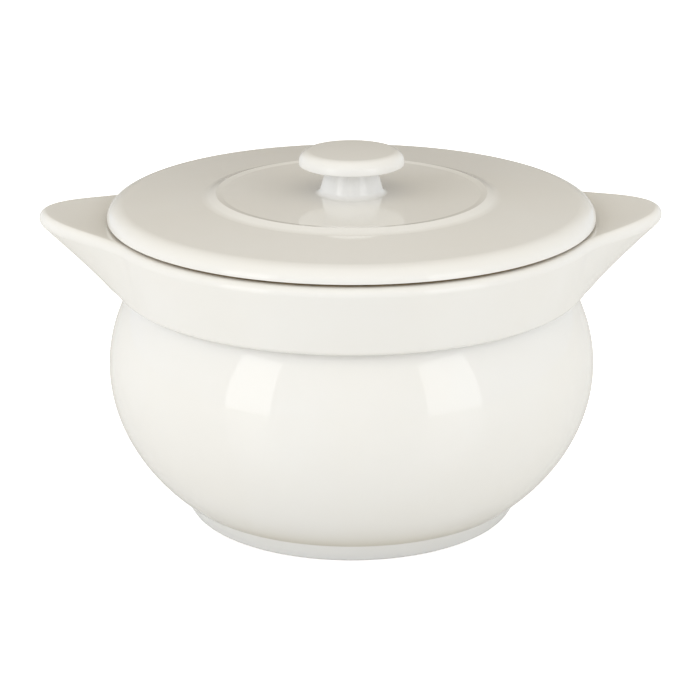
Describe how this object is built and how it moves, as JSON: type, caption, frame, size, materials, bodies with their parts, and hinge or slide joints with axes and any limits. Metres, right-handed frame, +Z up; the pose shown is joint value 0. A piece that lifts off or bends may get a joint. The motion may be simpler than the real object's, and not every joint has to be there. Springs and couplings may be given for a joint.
{
  "type": "covered baking dish",
  "caption": "Round glazed porcelain baking dish with a flared collar, pointed lug handles and a loose lid with a raised ring and a disc knob, for baking and serving food.",
  "frame": {"origin": "on the table, under the middle of the foot ring", "axes": "+X through the lugs, +Y away from the picture's camera, +Z up along the axis of the bowl"},
  "size_m": [0.1928, 0.154, 0.1151],
  "materials": {
    "pot_glaze": "glossy ivory glaze",
    "lid_glaze": "glossy ivory glaze"
  },
  "bodies": {
    "pot": {"pot": "pot_glaze"},
    "lid": {"lid": "lid_glaze"}
  },
  "joints": [
    {"name": "lid_lift", "type": "slide", "parent": "pot", "child": "lid", "axis": [0, 0, 1], "range_m": [0, 0.1]}
  ]
}
